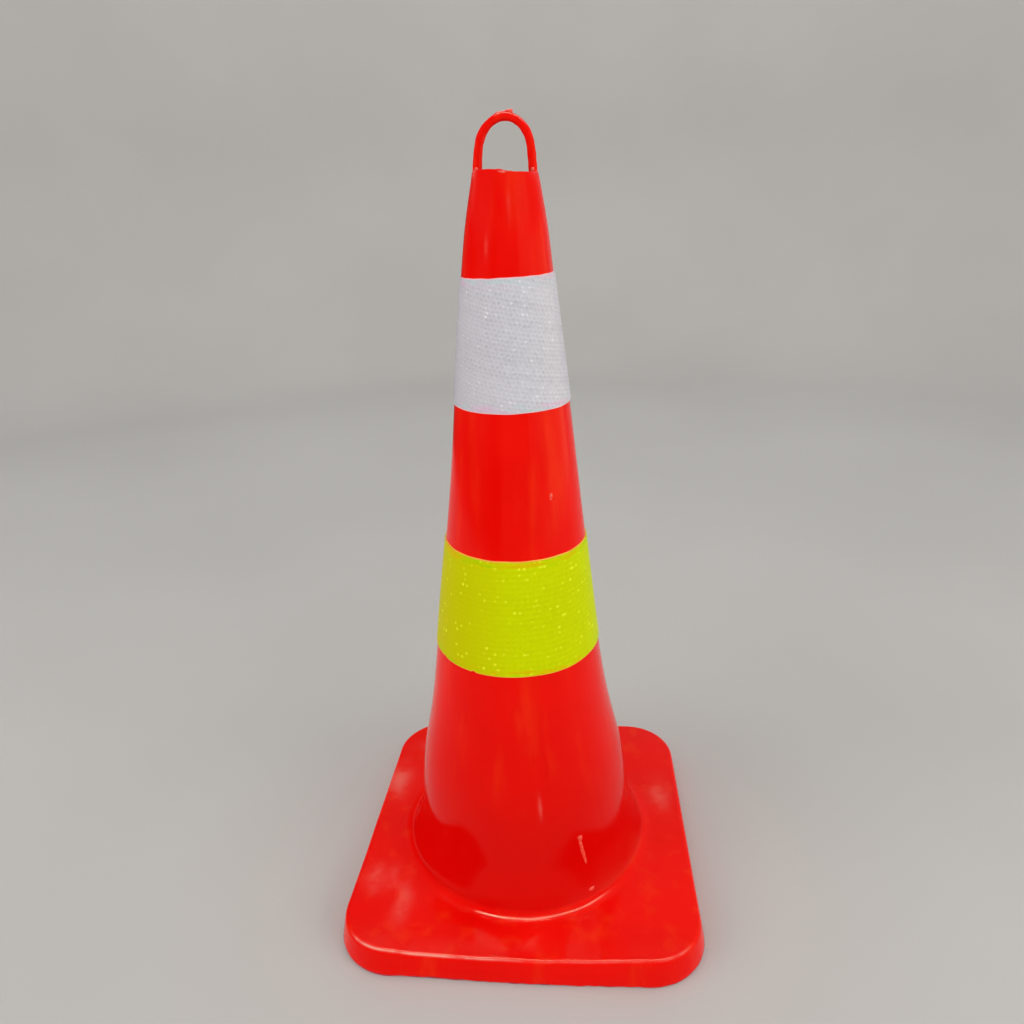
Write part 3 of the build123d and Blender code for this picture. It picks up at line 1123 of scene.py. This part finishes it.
def make_sky():
    """Even pale sky; what shows of it in reflections is dim in front and at the left."""
    world = bpy.data.worlds.new("soft_light")
    bpy.context.scene.world = world
    world.use_nodes = True
    nodes, links = world.node_tree.nodes, world.node_tree.links

    def calculated(operation, first, second):
        node = nodes.new("ShaderNodeMath")
        node.operation = operation
        for socket, value in zip(node.inputs, (first, second)):
            if isinstance(value, float):
                socket.default_value = value
            else:
                links.new(value, socket)
        return node.outputs[0]

    def ramp(value, low, high, top):
        node = nodes.new("ShaderNodeMapRange")
        node.interpolation_type = "SMOOTHSTEP"
        for key, number in (("From Min", low), ("From Max", high), ("To Max", top)):
            node.inputs[key].default_value = number
        links.new(value, node.inputs["Value"])
        return node.outputs[0]

    direction = nodes.new("ShaderNodeSeparateXYZ")
    links.new(nodes.new("ShaderNodeTexCoord").outputs["Generated"], direction.inputs[0])
    at_right = ramp(direction.outputs["X"], -0.3, 0.7, SKY_AT_RIGHT)
    at_back = ramp(direction.outputs["Y"], 0.0, 0.8, SKY_AT_BACK)
    seen = calculated("ADD", calculated("ADD", at_right, at_back), SKY_SEEN)
    mirrored = nodes.new("ShaderNodeLightPath").outputs["Is Glossy Ray"]
    strength = calculated("MULTIPLY", calculated("SUBTRACT", seen, SKY), mirrored)
    strength = calculated("ADD", strength, SKY)
    background = nodes["Background"]
    background.inputs["Color"].default_value = (0.96, 0.98, 1.0, 1)
    links.new(strength, background.inputs["Strength"])


def make_light():
    """Even daylight, with fills at both sides, a washed wall, and things to reflect."""
    make_sky()
    seen, lit = {"diffuse": False}, {"glossy": False}
    warm = {"diffuse": False, "colour": LAMP_WARM}
    tube, fill = 0.14, (1.6, 1.6)
    soft_light("ceiling_tube", (0.40, 0.05, 2.3), (0.40, 0, 0), (1.75, tube), 72.0, **seen)
    soft_light("ceiling_tube_left", (-0.62, 0.05, 2.3), (-0.66, 0, 0), (0.42, tube), 100.0, **seen)
    soft_light("fill_left", (-1.8, -1.1, 0.9), (0, 0, 0.3), fill, 2.4, **lit)
    soft_light("fill_right", (1.8, -1.1, 0.9), (0, 0, 0.3), fill, 2.6, **lit)
    soft_light("backdrop_wash", (0.0, 0.9, 2.6), (0, 3.0, 0.7), (2.6, 0.4), 3.8, **lit)
    soft_light("panel_right", (1.45, 0.05, 0.45), (0, 0, 0.4), (1.6, 0.8), 1.1, **warm)


CAMERA_PLACE = (0.0572, -0.6459, 0.6390)
CAMERA_TURN = (5.30, 21.91, -2.374)  # azimuth, pitch and roll, in degrees
CAMERA_LENS = 27.40  # in millimetres, on a 36 mm sensor


def make_camera():
    """Camera in front of the cone and a little to its right, looking down on it."""
    azimuth, pitch, roll = (math.radians(degrees) for degrees in CAMERA_TURN)
    place = Vector(CAMERA_PLACE)
    flat = math.cos(pitch)
    forward = Vector((-math.sin(azimuth) * flat, math.cos(azimuth) * flat, -math.sin(pitch)))
    level = Vector((math.cos(azimuth), math.sin(azimuth), 0))
    upright = level.cross(forward)
    right = level * math.cos(roll) + upright * math.sin(roll)
    up = upright * math.cos(roll) - level * math.sin(roll)
    data = bpy.data.cameras.new("camera")
    data.sensor_width = 36.0
    data.lens = CAMERA_LENS
    data.clip_start, data.clip_end = 0.02, 50
    made = bpy.data.objects.new("camera", data)
    facing = Matrix((right, up, -forward)).transposed().to_4x4()
    made.matrix_world = Matrix.Translation(place) @ facing
    bpy.context.scene.collection.objects.link(made)
    bpy.context.scene.camera = made


# ------------------------ collars, whole

# Colours of each film; the left tint, the pit colour, the glint and the margin sheens are painted
# light
WHITE_FILM = {
    "tones": ((0.515, 0.505, 0.550), (0.745, 0.735, 0.790)),
    "painted_left_light": (0.560, 0.520, 0.560),
    "pit_shade": (0.37, 0.36, 0.40),
    "glint": (0.98, 0.97, 1.0),
    "glinting": (0.970, 1.080, 0.80),
    "sheens": ((0.80, 0.46, 0.66), (0.46, 0.68, 0.66)),
    "specular": 0.25,
    "coat": 0.12,
}
LIME_FILM = {
    "tones": ((0.59, 0.68, 0.0006), (0.66, 0.78, 0.0008)),
    "painted_left_light": (0.60, 0.55, 0.0006),
    "pit_shade": (0.57, 0.62, 0.0006),
    "glint": (0.92, 0.97, 0.03),
    "glinting": (0.925, 1.030, 0.75),
    "sheens": ((0.84, 0.44, 0.002), (0.30, 0.66, 0.002)),
    "specular": 0.02,
    "coat": 0.0,
}
# Cells of each film: pitch in mm, sides, slant of the rows in degrees, depth in mm, seed
WHITE_CELLS = (3.87, 6, -11.5, 0.26, 41)
LIME_CELLS = (4.8, 4, 0.6, 0.12, 43)
# Nicks in the lime collar's lower edge: angle in degrees, half width, depth in mm
LIME_NICKS = ((-145.5, 0.020, 0.9), (-116.5, 0.022, 1.3))


def make_collar(colour, edges, backing, prisms, cells):
    """Carrier film and lens film of one collar."""
    low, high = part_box(colour + "_collar_lens")
    height = high.z - low.z
    width = TURN * float(flank_radius((low.z + high.z) / 2))
    pitch, sides, slant, depth, seed = cells
    sheet = cell_sheet(width, height, pitch * MM, sides, math.radians(slant), depth * MM, seed)
    carrier = make_carrier(colour + "_carrier", edges)
    finished(carrier, colour + "_carrier_film", backing, colour + "_collar_carrier")
    lens = make_lens(colour + "_lens", edges, sheet, width, height)
    finished(lens, colour + "_prismatic_film", prisms, colour + "_collar_lens")


# ------------------------ everything

bpy.context.scene.view_settings.view_transform = "Standard"
make_camera()
make_light()
make_floor()
make_flag()

red = soft_pvc()
scuffed_and_highlit = scuffed_and_highlit_pvc()
finished(make_skin(), "red_orange_pvc", red, "cone_body")
finished(make_loop(), "red_orange_pvc", red, "carry_loop")
finished(make_gate(), "red_orange_pvc", scuffed_and_highlit)
finished(make_marks(), "red_orange_pvc", scuffed_and_highlit)
finished(make_ballast(), "recycled_pvc", recycled_pvc(), "base_ballast")

white_edges = collar_edges("white_collar_carrier", 21, 0.8, ())
lime_edges = collar_edges("lime_collar_carrier", 31, 0.0, LIME_NICKS)
white_backing = carrier_film("white_backing", (0.90, 0.66, 0.70), (0.82, 0.58, 0.64))
lime_backing = carrier_film("lime_backing", (0.97, 0.46, 0.060), (0.95, 0.60, 0.050))
white_prisms = prism_film("white_prisms", **WHITE_FILM)
lime_prisms = prism_film("lime_prisms", **LIME_FILM)
make_collar("white", white_edges, white_backing, white_prisms, WHITE_CELLS)
make_collar("lime", lime_edges, lime_backing, lime_prisms, LIME_CELLS)
